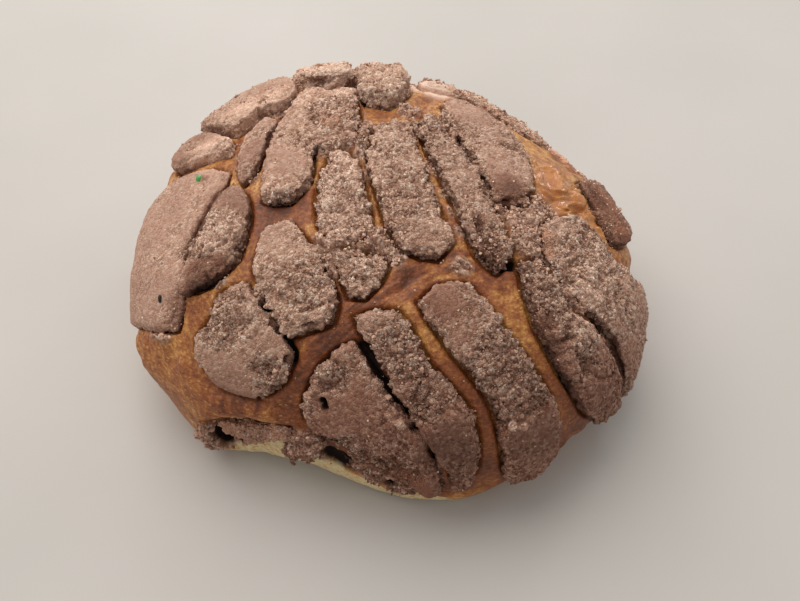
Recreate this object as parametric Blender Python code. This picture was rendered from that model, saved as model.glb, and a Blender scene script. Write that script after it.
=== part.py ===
"""Concha: a domed sweet bun under a broken cocoa sugar topping.

Metres, +Z up. The bun rests on its flat underside at Z = 0, and the long side
of its plan runs along X. Sizes below are in millimetres.

The topping is laid out the way it is rolled: flat, as pieces on a sheet whose
centre is the crown of the bun. drape() carries a point of that sheet over the
dome, so a sheet position (u, v) is a distance over the crust, with u to the
right and v to the back.
"""
import math

import bmesh
import bpy
from mathutils import Vector, geometry, noise

MM = 0.001

# The bun under its topping
# half widths of the plan, every 15 degrees from +X
PLAN_RADII = (60.5, 58.5, 57, 56.7, 57, 57.6, 58.5, 59.9, 61, 60.9, 60.5, 60.2,
              59.8, 60.6, 61.5, 60.4, 57, 55, 57.5, 62.5, 64, 64.6, 64, 62.5)
BUN_HEIGHT = 47.0
GIRTH_HEIGHT = 15.0        # height of the widest level
GIRTH_REACH = 86.0         # over the crust from the crown to the girth
UNDER_REACH = 21.0         # and on from there to the underside
BASE_RATIO = 0.86          # flat underside against the girth
DOME_POWER = 2.35          # 2 is an ellipse, more is fuller at the shoulder
UNEVEN = 0.7               # slow rise and fall of the crust
UNEVEN_LENGTH = 21.0
# flatter shoulder at the right back: bearing, half spread, depth, reach where it starts, is full
FLAT_BEARING = math.radians(38)
FLAT_SPREAD = math.radians(30)
FLAT_DEPTH = 3.0
FLAT_START = 28.0
FLAT_FULL = 50.0
CELLS = 27                 # quads along each side of the rounded cube
GIRTH_POLAR = 93.0         # degrees round the cube from the crown to the girth
BASE_POLAR = 120.0         # and to the edge of the flat underside

# Bare dough
SWELL = 1.6                # dough risen between the topping pieces
SWELL_START = 3.0          # distance from a piece where it starts
SWELL_FULL = 8.0
# fold of dough across the crown, as a run of sheet points
FOLD = ((-32, -58), (-24, -52), (-13, -44), (-4, -37), (5, -29), (15, -24))
FOLD_HEIGHT = 1.8
FOLD_WIDTH = 4.0
# smooth bulges: u, v, height, radius
BULGES = ((39, 1, 2.6, 9), (-47, -62, 3.0, 20), (5, 21, 1.0, 7), (-68, -41, 2.6, 9))
# pale foot that spreads in two lobes at the front: bearing, half spread, height
FEET = ((math.radians(-134), math.radians(13), 3.4), (math.radians(-84), math.radians(24), 3.8))
FOOT_REACH = 98.0
FOOT_WIDTH = 6.5

# Topping
GAP = 0.35                 # under each piece
GAP_LOW = 0.75             # and past the girth, where the edges stand off
RIM_STEP = 3.7             # spacing of points along a piece's edge
FILL_STEP = 5.2            # spacing of points inside it
EDGE_ROUND = 1.3
SPRINKLE_RADIUS = 1.0
SPRINKLE_AT = (-39, 2)
CORNER_ROUND = 0.55        # 0 is straight between corners, 1 is a free curve

# Pieces of topping: thickness, then corners in order round the edge
PIECES = {
    "topping_left": (3.4, ((-33.5, 2), (-39, 6), (-46, 7), (-54, 7.3), (-70, 4.5), (-82, -6),
                           (-83, -18), (-76, -29.5), (-60, -33), (-53, -35.5), (-46, -36),
                           (-43, -30), (-39, -16), (-34.5, -5))),
    "topping_left_inner": (4.8, ((-31, -3), (-27, -8), (-26, -14), (-28, -22), (-34, -27),
                                 (-41, -27), (-37, -15), (-33, -5))),
    "topping_low_left": (4.4, ((-26.5, -28.5), (-32.5, -29.5), (-35, -34), (-41, -39),
                               (-42.5, -45), (-39, -53), (-29, -57.7), (-22.5, -54),
                               (-19.3, -47), (-21.7, -42), (-24.3, -36))),
    "topping_centre_left": (4.6, ((-22, -16), (-18, -15), (-15, -20), (-12, -24),
                                  (-12, -28), (-9, -35), (-10, -41), (-20, -43),
                                  (-23, -36), (-25, -25))),
    "topping_centre_small": (3.6, ((-10, -24), (-4, -24), (2, -26), (0, -31), (-3, -35),
                                   (-7, -35), (-9, -29))),
    "topping_upper_strip": (4.4, ((-26, 19), (-23.6, 17), (-24.6, 11), (-27.2, 0), (-29, -3),
                                  (-31, 2), (-31, 12))),
    "topping_back_left_low": (5.2, ((-34, 9), (-43, 10), (-49, 10), (-53, 15), (-54, 22),
                                    (-49, 26), (-42, 21), (-34, 13))),
    "topping_back_left": (6.4, ((-33, 16), (-28, 22), (-22, 22), (-20, 28), (-26, 46),
                                (-40, 47), (-52, 39), (-47, 29))),
    "topping_upper": (5.0, ((-18.5, 29), (-8, 28.5), (-5, 15), (-6, 7.5), (-10, 7.5),
                            (-14.5, 6), (-14.6, -4.5), (-18, -9.8), (-23.5, -8.8), (-24.7, 0),
                            (-22.7, 11), (-21, 20))),
    "topping_centre_left_strip": (4.0, ((-11, 3.5), (-8.5, 4.5), (-6, 3), (-4.3, -2),
                                        (-2.6, -12), (-2, -20), (-4, -22.5), (-9.5, -21.3),
                                        (-12.7, -17), (-13, -6))),
    "topping_centre_strip": (4.6, ((-1, 14), (6, 14), (8, 3), (9, -6), (13, -19), (10.5, -23),
                                   (4.5, -22.5), (1, -17), (-3, -2), (-3, 5))),
    "topping_right_strip": (4.4, ((8, 15), (12, 19), (17, 5), (20, -9), (24, -20),
                                  (21, -25), (17, -21), (12, -5))),
    "topping_upper_right": (4.6, ((14, 25), (19, 28), (29, 20), (32, 8), (31, -2), (28, -9),
                                  (22, -10), (19, 2))),
    "topping_crown_right": (6.8, ((-7, 35), (-4, 23), (1, 22), (6, 31), (5, 45), (3, 53),
                                  (-7, 53))),
    "topping_crown_left": (7.2, ((-17.5, 33.5), (-9.5, 33), (-9, 50), (-18, 54), (-23, 44))),
    "topping_right_back": (4.6, ((45, 3.5), (50, 8.5), (57, 13), (66, 13), (71, 5), (66, -4),
                                 (58, -9.5), (52, -11.5), (48, -5))),
    "topping_right_outer": (5.0, ((30, -14), (38, -9), (43, -10), (50, -17), (72, -22),
                                  (84, -34), (83, -45), (76, -51), (66, -47), (46, -33),
                                  (36, -28), (31, -23))),
    "topping_right_side": (5.4, ((25, -22.5), (29, -21.5), (34, -30), (45, -37), (65, -51),
                                 (67.5, -55.5), (61, -60), (50.5, -56.5), (37, -46),
                                 (29, -36))),
    "topping_front_right": (4.8, ((7, -33), (10, -29), (16, -28), (25, -39), (38, -54),
                                  (47.5, -69), (46, -76), (37, -81), (32, -74), (22, -53),
                                  (13, -42))),
    "topping_front_middle": (4.2, ((-5.5, -39.5), (4, -36), (10, -46), (19, -56), (23, -67),
                                   (26, -80), (22.5, -86), (18, -76.5), (13.4, -68.7),
                                   (8.6, -61), (3.6, -54), (-0.3, -47.8), (-3.5, -43.2))),
    "topping_front_left": (4.2, ((-5.5, -45), (-13, -50), (-20, -62), (-20, -68), (-9, -76),
                                 (3, -83), (14, -90), (19.5, -87.5), (15, -76), (10.5, -67.5),
                                 (5, -59.5), (-0.5, -52.3), (-3.5, -48))),
    "topping_rim_scrap": (2.6, ((-52, -67), (-43, -68), (-31, -70), (-25, -73), (-31, -78),
                                (-50, -77))),
    "topping_rear_1": (4.2, ((10, 36), (22, 36), (37, 26), (48, 28), (45, 42), (26, 54),
                             (10, 54))),
    "topping_rear_2": (3.4, ((-28, 55), (-43, 55), (-56, 46), (-65, 53), (-50, 70),
                             (-32, 78), (-24, 68))),
    "topping_rear_3": (2.6, ((-18, 61), (5, 59), (7, 70), (4, 85), (-15, 86), (-20, 74))),
    "topping_rear_4": (3.0, ((12, 60), (28, 58), (41, 50), (49, 60), (36, 76), (17, 84),
                             (11, 74))),
    "topping_rear_5": (4.4, ((49, 45), (54, 31), (66, 21), (80, 24), (76, 42), (60, 58),
                             (54, 54))),
    "topping_rear_6": (4.2, ((-57, 36), (-64, 32), (-76, 22), (-85, 16), (-84, 30),
                             (-74, 45), (-63, 46))),
}


def clear_scene():
    for obj in list(bpy.data.objects):
        bpy.data.objects.remove(obj, do_unlink=True)


def make_material(name, rgb, roughness):
    mat = bpy.data.materials.new(name)
    mat.use_nodes = True
    shader = mat.node_tree.nodes["Principled BSDF"]
    shader.inputs["Base Color"].default_value = (*rgb, 1.0)
    shader.inputs["Roughness"].default_value = roughness
    shader.inputs["Metallic"].default_value = 0.0
    return mat


def smooth_value(values, t, closed=False):
    """Catmull-Rom through evenly spaced numbers, t counted in steps."""
    count = len(values)
    i = math.floor(t)
    f = t - i
    if closed:
        a, b, c, d = (values[(i + k) % count] for k in (-1, 0, 1, 2))
    else:
        a, b, c, d = (values[min(max(i + k, 0), count - 1)] for k in (-1, 0, 1, 2))
    return 0.5 * (2 * b + (c - a) * f + (2 * a - 5 * b + 4 * c - d) * f * f
                  + (3 * b - a - 3 * c + d) * f ** 3)


def smoothstep(low, high, x):
    t = min(max((x - low) / (high - low), 0.0), 1.0)
    return t * t * (3 - 2 * t)


def crust(u, v):
    """Point of the plain dome under sheet point (u, v)."""
    theta = math.atan2(v, u)
    radius = smooth_value(PLAN_RADII, theta / math.tau * len(PLAN_RADII), closed=True)
    reach = math.hypot(u, v)
    under = max(reach - GIRTH_REACH, 0) / UNDER_REACH
    angle = (min(reach / GIRTH_REACH, 1) + min(under, 1)) * math.pi / 2
    sine, cosine = math.sin(angle), math.cos(angle)
    if angle <= math.pi / 2:
        full = (sine ** DOME_POWER + max(cosine, 0) ** DOME_POWER) ** (-1 / DOME_POWER)
        out = full * sine
        z = GIRTH_HEIGHT + (BUN_HEIGHT - GIRTH_HEIGHT) * full * cosine
    else:
        out = BASE_RATIO + (1 - BASE_RATIO) * sine
        z = GIRTH_HEIGHT * (1 + cosine)
    return Vector((radius * out * math.cos(theta), radius * out * math.sin(theta), z))


def drape(u, v, lift):
    """Sheet point (u, v) carried over the dome, lift mm above the crust."""
    e = 0.3
    normal = (crust(u + e, v) - crust(u - e, v)).cross(crust(u, v + e) - crust(u, v - e))
    normal.normalize()
    point = crust(u, v)
    sway = noise.noise(point / UNEVEN_LENGTH + Vector((3.1, 7.4, 1.7)))
    around = (math.atan2(v, u) - FLAT_BEARING) / FLAT_SPREAD
    flat = math.exp(-around ** 2) * smoothstep(FLAT_START, FLAT_FULL, math.hypot(u, v))
    return point + normal * (lift + UNEVEN * sway * smoothstep(0, 12, point.z)
                             - FLAT_DEPTH * flat)


def closed_curve(corners, step):
    """Points about step apart on a smooth loop through the corners."""
    xs = [c[0] for c in corners]
    ys = [c[1] for c in corners]
    loop = []
    for i in range(len(corners)):
        span = math.dist(corners[i], corners[(i + 1) % len(corners)])
        parts = max(1, round(span / step))
        for k in range(parts):
            f = k / parts
            point = []
            for values in (xs, ys):
                straight = (1 - f) * values[i] + f * values[(i + 1) % len(values)]
                curved = smooth_value(values, i + f, True)
                point.append(straight + CORNER_ROUND * (curved - straight))
            loop.append(tuple(point))
    return loop


def is_inside(u, v, loop):
    inside = False
    for (x0, y0), (x1, y1) in zip(loop, loop[1:] + loop[:1]):
        if (y0 > v) != (y1 > v) and u < x0 + (v - y0) / (y1 - y0) * (x1 - x0):
            inside = not inside
    return inside


def line_distance(u, v, points):
    """Distance from (u, v) to a run of points."""
    best = 1e9
    here = Vector((u, v))
    for a, b in zip(points, points[1:]):
        near, t = geometry.intersect_point_line(here, a, b)
        near = Vector(a).lerp(Vector(b), min(max(t, 0.0), 1.0))
        best = min(best, (here - near).length)
    return best


def edge_distance(u, v, loop):
    """Distance to a closed loop, negative inside it."""
    away = line_distance(u, v, loop + loop[:1])
    return -away if is_inside(u, v, loop) else away


def filled_sheet(loop, step):
    """Flat mesh that fills the loop with even triangles."""
    us = [p[0] for p in loop]
    vs = [p[1] for p in loop]
    points = [Vector(p) for p in loop]
    rows = int((max(vs) - min(vs)) / (step * 0.866)) + 1
    columns = int((max(us) - min(us)) / step) + 1
    for row in range(rows + 1):
        for column in range(columns + 1):
            u = min(us) + (column + 0.5 * (row % 2)) * step
            v = min(vs) + row * step * 0.866
            if edge_distance(u, v, loop) < -0.5 * step:
                points.append(Vector((u, v)))
    outline = [list(range(len(loop)))]
    verts, _, faces, *_ = geometry.delaunay_2d_cdt(points, [], outline, 1, 0.001)
    return verts, faces


def make_object(name, bm, group, rgb, roughness):
    bmesh.ops.recalc_face_normals(bm, faces=bm.faces)
    mesh = bpy.data.meshes.new(name)
    bm.to_mesh(mesh)
    bm.free()
    mesh.materials.append(make_material(name, rgb, roughness))
    mesh.shade_smooth()
    mesh.set_sharp_from_angle(angle=math.radians(50))
    obj = bpy.data.objects.new(name, mesh)
    group.objects.link(obj)
    return obj


def dough_rise(u, v, loops):
    """Height of the bare dough above the plain dome."""
    open_crust = min(edge_distance(u, v, loop) for loop in loops)
    bare = smoothstep(SWELL_START, SWELL_FULL, open_crust)
    clear = smoothstep(SWELL_START, SWELL_START + 3, open_crust)
    fold = FOLD_HEIGHT * math.exp(-(line_distance(u, v, FOLD) / FOLD_WIDTH) ** 2)
    bulge = sum(height * math.exp(-((u - bu) ** 2 + (v - bv) ** 2) / radius ** 2)
                for bu, bv, height, radius in BULGES)
    reach = math.hypot(u, v)
    foot = sum(height * math.exp(-((math.atan2(v, u) - bearing) / spread) ** 2)
               for bearing, spread, height in FEET)
    foot *= math.exp(-((reach - FOOT_REACH) / FOOT_WIDTH) ** 2)
    side = smoothstep(0, UNDER_REACH, GIRTH_REACH + UNDER_REACH - reach)
    return (SWELL * bare + fold + bulge) * clear * side + foot * clear


def make_bun(group, loops):
    """A rounded cube bent to the dome, its flat underside one face."""
    bm = bmesh.new()
    bmesh.ops.create_cube(bm, size=2.0)
    bmesh.ops.subdivide_edges(bm, edges=bm.edges[:], cuts=CELLS - 1, use_grid_fill=True)
    for vert in bm.verts:
        ball = Vector([math.tan(c * math.pi / 4) for c in vert.co]).normalized()
        polar = math.degrees(math.acos(max(-1.0, min(1.0, ball.z))))
        theta = math.atan2(ball.y, ball.x)
        below = max(polar - GIRTH_POLAR, 0) / (BASE_POLAR - GIRTH_POLAR)
        reach = GIRTH_REACH * min(polar / GIRTH_POLAR, 1) + UNDER_REACH * min(below, 1)
        u, v = reach * math.cos(theta), reach * math.sin(theta)
        vert.co = drape(u, v, dough_rise(u, v, loops))
        vert.co.z = max(vert.co.z, 0.0)
        if polar >= BASE_POLAR:
            vert.co *= (180 - polar) / (180 - BASE_POLAR)
            vert.co.z = 0.0
    under = [f for f in bm.faces if all(v.co.z < 0.001 for v in f.verts)]
    bmesh.ops.dissolve_faces(bm, faces=under, use_verts=True)
    bmesh.ops.scale(bm, vec=(MM, MM, MM), verts=bm.verts)
    return make_object("bun", bm, group, (0.42, 0.19, 0.06), 0.5)


def gap_at(u, v):
    return GAP + (GAP_LOW - GAP) * smoothstep(76, 88, math.hypot(u, v))


def make_topping(name, thickness, loop, group):
    """A slab over the crust: a filled sheet, thickened outwards, edge rounded."""
    verts, faces = filled_sheet(loop, FILL_STEP)
    bm = bmesh.new()
    index = bm.verts.layers.int.new("sheet_point")
    for i, p in enumerate(verts):
        bm.verts.new(drape(p.x, p.y, gap_at(p.x, p.y)))[index] = i
    bm.verts.ensure_lookup_table()
    sheet = [bm.faces.new([bm.verts[i] for i in face]) for face in faces]
    made = bmesh.ops.extrude_face_region(bm, geom=sheet, use_keep_orig=True)["geom"]
    for vert in (g for g in made if isinstance(g, bmesh.types.BMVert)):
        p = verts[vert[index]]
        vert.co = drape(p.x, p.y, gap_at(p.x, p.y) + thickness)
    top = {g for g in made if isinstance(g, bmesh.types.BMFace)}
    rim = [e for e in bm.edges if sum(f in top for f in e.link_faces) == 1]
    bmesh.ops.bevel(bm, geom=rim, offset=EDGE_ROUND, segments=1, affect="EDGES",
                    clamp_overlap=True)
    bmesh.ops.triangulate(bm, faces=bm.faces)
    bmesh.ops.scale(bm, vec=(MM, MM, MM), verts=bm.verts)
    return make_object(name, bm, group, (0.30, 0.19, 0.15), 0.85)


def fuse_sprinkle(piece, thickness, group):
    """Joins a round sprinkle to the top of a piece."""
    bpy.ops.mesh.primitive_uv_sphere_add(segments=7, ring_count=4,
                                         radius=SPRINKLE_RADIUS * MM,
                                         location=drape(*SPRINKLE_AT, GAP + thickness) * MM)
    ball = bpy.context.object
    join = piece.modifiers.new("sprinkle", "BOOLEAN")
    join.operation = "UNION"
    join.object = ball
    bpy.context.view_layer.objects.active = piece
    bpy.ops.object.modifier_apply(modifier=join.name)
    bpy.data.objects.remove(ball, do_unlink=True)


def centre_plan(group):
    """Moves the whole so that its plan is centred on the origin."""
    points = [v.co for obj in group.objects for v in obj.data.vertices]
    shift = [-(min(p[i] for p in points) + max(p[i] for p in points)) / 2 for i in (0, 1)]
    for obj in group.objects:
        obj.location = (*shift, 0)


def main():
    clear_scene()
    concha = bpy.data.collections.new("concha")
    bpy.context.scene.collection.children.link(concha)
    pieces = {name: (thickness, closed_curve(corners, RIM_STEP))
              for name, (thickness, corners) in PIECES.items()}
    make_bun(concha, [loop for _, loop in pieces.values()])
    for name, (thickness, loop) in pieces.items():
        make_topping(name, thickness, loop, concha)
    fuse_sprinkle(concha.objects["topping_left"], PIECES["topping_left"][0], concha)
    centre_plan(concha)


main()
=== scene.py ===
# %% [markdown]
# # A concha in Blender
# A concha is a round sweet bun. A thin sheet of cocoa sugar paste is laid over the dough, and as the dough
# rises in the oven the sheet breaks into slabs. The CAD model already gives the dough and each slab as
# plain solids. This lesson turns them into food: crumbly slabs, shiny stretched crust, loose crumbs and
# grains of sugar.

# %% Load the CAD frame
import math

import bmesh
import bpy
import numpy as np
from mathutils import Matrix, Vector, noise
from mathutils.bvhtree import BVHTree
from mathutils.kdtree import KDTree


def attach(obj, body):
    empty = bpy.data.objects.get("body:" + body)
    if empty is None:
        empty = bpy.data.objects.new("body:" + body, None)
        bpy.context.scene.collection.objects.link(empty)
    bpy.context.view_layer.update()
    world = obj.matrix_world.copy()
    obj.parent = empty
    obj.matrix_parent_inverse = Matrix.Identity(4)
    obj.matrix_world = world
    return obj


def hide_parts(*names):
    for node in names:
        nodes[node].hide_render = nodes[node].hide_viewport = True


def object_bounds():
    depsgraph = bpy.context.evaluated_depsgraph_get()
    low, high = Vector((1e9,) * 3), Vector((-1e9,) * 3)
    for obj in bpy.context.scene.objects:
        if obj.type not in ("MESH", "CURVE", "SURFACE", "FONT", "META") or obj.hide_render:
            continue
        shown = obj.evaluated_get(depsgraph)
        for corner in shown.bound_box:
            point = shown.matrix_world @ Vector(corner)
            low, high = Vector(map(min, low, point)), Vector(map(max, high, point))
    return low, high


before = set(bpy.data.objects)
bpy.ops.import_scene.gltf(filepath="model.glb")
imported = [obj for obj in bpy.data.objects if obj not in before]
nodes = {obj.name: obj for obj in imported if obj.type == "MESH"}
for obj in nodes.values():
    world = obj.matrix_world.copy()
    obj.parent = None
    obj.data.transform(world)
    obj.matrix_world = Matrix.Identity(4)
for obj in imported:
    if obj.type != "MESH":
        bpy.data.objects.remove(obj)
cad_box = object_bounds()
slab_names = sorted(name for name in nodes if name.startswith("topping"))
print("slabs of topping:", len(slab_names))

# %% [markdown]
# The camera comes first, because many small things below are placed by where they show in the picture. A
# camera can be turned by hand until the view fits. Here its place and the point that it is aimed at are
# written down, so that the view is the same every time. It looks down at the bun at 50 degrees.

# %% Camera
VIEW = (800, 601)                        # picture size in pixels
FIELD = math.radians(50)                 # across the picture
SENSOR = 36                              # mm, the usual width
EYE = (0.00374, -0.15004, 0.18167)       # metres
AIMED_AT = (0.00374, -0.01312, 0.0185)   # metres, inside the bun
camera = bpy.data.objects.new("view", bpy.data.cameras.new("view"))
camera.data.sensor_width = SENSOR
camera.data.lens = SENSOR / 2 / math.tan(FIELD / 2)
camera.location = EYE
aim = Vector(AIMED_AT) - camera.location
camera.rotation_euler = aim.to_track_quat("-Z", "Y").to_euler()
bpy.context.collection.objects.link(camera)
bpy.context.scene.camera = camera
bpy.context.view_layer.update()
print("camera distance in mm:", round(aim.length * 1000))

# %% [markdown]
# A ray from the camera through a picture position finds the point of the CAD surface that shows there. So a
# crack or a crumbly patch can be noted by where it shows, and it still lies on the real surface, seen from
# any side. Typing in places in space would do the same, but nobody can read those off a picture.
# From here on, places are in millimetres, because food is thought of in millimetres.

# %% Search trees over the CAD surfaces
def corner_array(mesh):
    """All vertex places of a mesh, in mm, as a table with three columns."""
    flat = np.empty(len(mesh.vertices) * 3)
    mesh.vertices.foreach_get("co", flat)
    return flat.reshape(-1, 3) * 1000


def surface_tree(meshes):
    """One search tree over several meshes, in mm."""
    corners, faces, start = [], [], 0
    for mesh in meshes:
        corners += corner_array(mesh).tolist()
        faces += [[start + i for i in face.vertices] for face in mesh.polygons]
        start = len(corners)
    return BVHTree.FromPolygons(corners, faces)


whole_tree = surface_tree([node.data for node in nodes.values()])
slab_tree = surface_tree([nodes[name].data for name in slab_names])
crust_tree = surface_tree([nodes["bun"].data])
print("CAD surfaces searched:", len(nodes))

# %% From picture positions to places on the bun
FOCAL = VIEW[0] / 2 / math.tan(FIELD / 2)   # the lens in pixels


def spot(x, y):
    """Place in mm of the surface that shows at picture position x, y."""
    ray = Vector(((x - VIEW[0] / 2) / FOCAL, (VIEW[1] / 2 - y) / FOCAL, -1))
    ray.rotate(camera.rotation_euler)
    hit = whole_tree.ray_cast(camera.location * 1000, ray)[0]
    if hit is None:
        raise ValueError(f"nothing shows at {x}, {y}")
    return np.array(hit)


def low_spot(x, y):
    """Place in mm on the crust, under what shows at picture position x, y."""
    return np.array(crust_tree.find_nearest(spot(x, y))[0])


print("middle of the picture lies at", spot(400, 300).round(1))

# %% [markdown]
# Every uneven form below is made the same way: a fine mesh whose points are pushed in or out by an amount in
# millimetres. A displacement in the material could do that too, but pushed points are real geometry, which
# stays when the model is exported. Blender's noise gives soft swells. Its voronoi cells give packed lumps
# like crumbs: the gap between the nearest and the second nearest cell centre is zero in the cracks.

# %% Swells and lumps
SWELL_SHIFT, LUMP_SHIFT = 7.31, 3.17     # how far each seed moves the noise, in bumps
FADE, FINER = 0.8, 2.0                   # how each octave of noise gets weaker and finer
LUMP_RIM, LUMP_ROUND = 0.55, 0.6         # how wide the rim of a lump is, and how round


def swell(places, size, seed, octaves=1):
    """Soft noise about -1 to 1 whose bumps are about size mm long."""
    moved = (places / size + seed * SWELL_SHIFT).tolist()
    if octaves == 1:
        return np.array([noise.noise(p) for p in moved])
    return np.array([noise.fractal(p, FADE, FINER, octaves) for p in moved])


def lumps(places, size, seed):
    """Packed lumps about size mm wide: height 0 in the cracks between them to 1 on top."""
    gaps = []
    for p in (places / size + seed * LUMP_SHIFT).tolist():
        distances, _ = noise.voronoi(p)
        gaps.append(distances[1] - distances[0])
    return np.minimum(np.array(gaps) / LUMP_RIM, 1) ** LUMP_ROUND


print("a lump of 2 mm is about", round(2 * FOCAL / (aim.length * 1000), 1), "pixels wide in the picture")

# %% [markdown]
# Masks say where a push or a colour applies. They could be painted by hand on the mesh, but a few round
# patches with soft edges are quicker to move, and they survive when the mesh under them is made again.

# %% Soft steps and round patches
PATCH_FULL, PATCH_END = 0.55, 1.25       # where a patch starts to fall and where it ends, in radii


def step(low, high, x):
    """0 below low, 1 above high, smooth between."""
    t = np.clip((x - low) / (high - low), 0, 1)
    return t * t * (3 - 2 * t)


def patch_mask(places, patches, place_of=spot):
    """1 in the middle of round patches (x, y, radius in mm), falling to 0 outside."""
    mask = np.zeros(len(places))
    for x, y, radius in patches:
        away = np.linalg.norm(places - place_of(x, y), axis=1)
        mask = np.maximum(mask, 1 - step(PATCH_FULL * radius, PATCH_END * radius, away))
    return mask


def patch_sum(places, patches):
    """The same with an amount to each patch (x, y, radius, amount), all added up."""
    return sum(amount * patch_mask(places, ((x, y, radius),)) for x, y, radius, amount in patches)


print("a patch of 4 mm ends", 4 * PATCH_END, "mm from its middle")

# %% [markdown]
# A fine copy of a CAD node is the start of each piece. Subdivision would keep the long thin faces of the
# solid. The voxel remesh gives even little faces all over instead, the smooth modifier takes off the flat
# facets, and then the points can be pushed.

# %% A fine copy of a CAD node
WELD = 0.000002                          # metres, points closer than this become one


def fine_copy(node, name, voxel, smooth_steps):
    """A new object: the node's mesh with even faces about voxel mm wide, its edges softened."""
    piece = bpy.data.objects.new(name, node.data.copy())
    bpy.context.collection.objects.link(piece)
    bm = bmesh.new()
    bm.from_mesh(piece.data)
    bmesh.ops.remove_doubles(bm, verts=bm.verts, dist=WELD)
    bm.to_mesh(piece.data)
    bm.free()
    remesh = piece.modifiers.new("even_faces", "REMESH")
    remesh.mode = "VOXEL"
    remesh.voxel_size = voxel / 1000
    smooth = piece.modifiers.new("soft_edges", "SMOOTH")
    smooth.iterations = smooth_steps
    made = piece.evaluated_get(bpy.context.evaluated_depsgraph_get())
    mesh = bpy.data.meshes.new_from_object(made)
    mesh.materials.clear()
    piece.modifiers.clear()
    piece.data = mesh
    return piece


print("points to weld in the bun's solid:", len(nodes["bun"].data.vertices))

# %% Read normals, write places and notes
LOW, HIGH = np.array(cad_box[0]) * 1000, np.array(cad_box[1]) * 1000


def normal_array(mesh):
    """Which way the surface faces at each vertex."""
    flat = np.empty(len(mesh.vertices) * 3)
    mesh.vertices.foreach_get("normal", flat)
    return flat.reshape(-1, 3)


def place_points(mesh, places):
    """Writes places in mm back to the mesh, kept inside the CAD box."""
    inside = np.clip(places, LOW, HIGH) / 1000
    mesh.vertices.foreach_set("co", inside.ravel())
    mesh.update()


def note(mesh, name, values):
    """Keeps one number a point under a name, for the material to read."""
    mesh.attributes.new(name, "FLOAT", "POINT").data.foreach_set("value", values.astype(np.float32))


print("size of the CAD box in mm:", (HIGH - LOW).round(1))

# %% [markdown]
# The slabs. The paste was smooth where the mould pressed it and crumbly where it tore. One setting for all
# slabs would make them look stamped, so each has its own two numbers: how much of it crumbles, from 0 to 1,
# and how pale it is, which is its bake together with painted light and shade for how the lamps reach it.
# ROUNDED slabs have crumbled into soft mounds, and their edges are smoothed that many times.

# %% How crumbly each slab is, and how pale with painted light and shade
PASTE = {
    "left": (0.05, 0.93), "left_inner": (0.35, 0.66), "low_left": (0.3, 0.76), "centre_left": (0.7, 0.92),
    "centre_small": (0.7, 0.97), "upper_strip": (0.2, 0.7), "back_left_low": (0.3, 0.7),
    "back_left": (0.4, 0.92), "upper": (0.5, 0.93), "centre_left_strip": (0.9, 1.04),
    "centre_strip": (0.65, 0.88), "right_strip": (0.7, 0.77), "upper_right": (0.5, 0.8),
    "crown_right": (1.0, 1.18), "crown_left": (0.7, 1.4), "right_back": (0.45, 0.46),
    "right_outer": (0.6, 0.85), "right_side": (0.7, 0.58), "front_right": (0.55, 0.73),
    "front_middle": (0.6, 0.64), "front_left": (0.4, 0.63), "rim_scrap": (0.8, 0.82), "rear_1": (1.0, 1.5),
    "rear_2": (0.5, 0.88), "rear_3": (0.6, 0.88), "rear_4": (0.4, 0.88), "rear_5": (0.5, 1.1),
    "rear_6": (0.4, 0.88),
}
ROUNDED = {"crown_right": 5, "crown_left": 8, "back_left": 7, "back_left_low": 7, "rear_1": 4}
print("palest slab:", max(PASTE, key=lambda name: PASTE[name][1]))

# %% [markdown]
# Within a slab the colour changes too, and patches carry that. A patch is a place in the picture and a
# radius in millimetres. Tone patches add a fourth number, how much paler the paste is there, or browner
# below 0. Some are the paste's own tone, and many are painted light on faces that the lamps leave dim and
# painted shade on broken sides and under overhangs. Film patches are a milky skin of melted sugar, painted
# pale also for its sheen, and RUST is where cinnamon-coloured crumb shows.

# %% Patches of colour, painted light and painted shade on the slabs
TONES_AND_PAINTED_LIGHT = ((595, 195, 4, -0.25), (520, 200, 6, -0.25), (450, 455, 8, -0.12), (530, 430, 9, -0.08),
         (283, 196, 3, 0.35), (268, 192, 3, 0.3), (513, 427, 1.2, 0.4), (524, 427, 1.1, 0.4),
         (402, 425, 1.2, 0.3), (318, 84, 3, -0.4), (340, 88, 4, 0.3), (375, 105, 5, 0.15),
         (265, 118, 5, 0.1), (600, 300, 8, 0.1), (620, 280, 8, 0.1), (205, 275, 6, -0.35),
         (215, 292, 5, -0.35), (196, 300, 6, -0.3), (185, 316, 5, -0.3), (540, 318, 4, -0.25),
         (547, 347, 4, -0.3), (560, 378, 4, -0.35), (480, 245, 5, -0.3), (490, 258, 5, -0.35),
         (618, 222, 7, -0.1), (262, 200, 4, -0.25), (410, 235, 6, -0.2), (450, 300, 7, -0.2),
         (360, 455, 6, -0.05), (400, 475, 6, -0.05), (383, 84, 9, 0.2), (330, 75, 7, 0.3), (290, 95, 7, 0.2),
         (260, 105, 7, 0.2), (222, 145, 7, 0.3), (205, 160, 5, 0.3), (575, 310, 6, 0.3), (590, 330, 5, 0.3),
         (340, 170, 7, 0.15), (330, 215, 6, 0.15), (460, 105, 6, 0.15), (500, 115, 6, 0.2),
         (530, 135, 6, 0.2), (255, 435, 8, 0.1), (280, 440, 6, 0.1), (212, 150, 8, 0.2), (245, 115, 9, 0.2),
         (215, 228, 6, 0.25), (228, 322, 6, 0.15), (600, 260, 9, 0.12), (505, 190, 6, -0.3),
         (355, 450, 7, 0.12), (592, 190, 4, -0.1), (215, 222, 5, 0.25), (206, 236, 4, 0.2))
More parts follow.
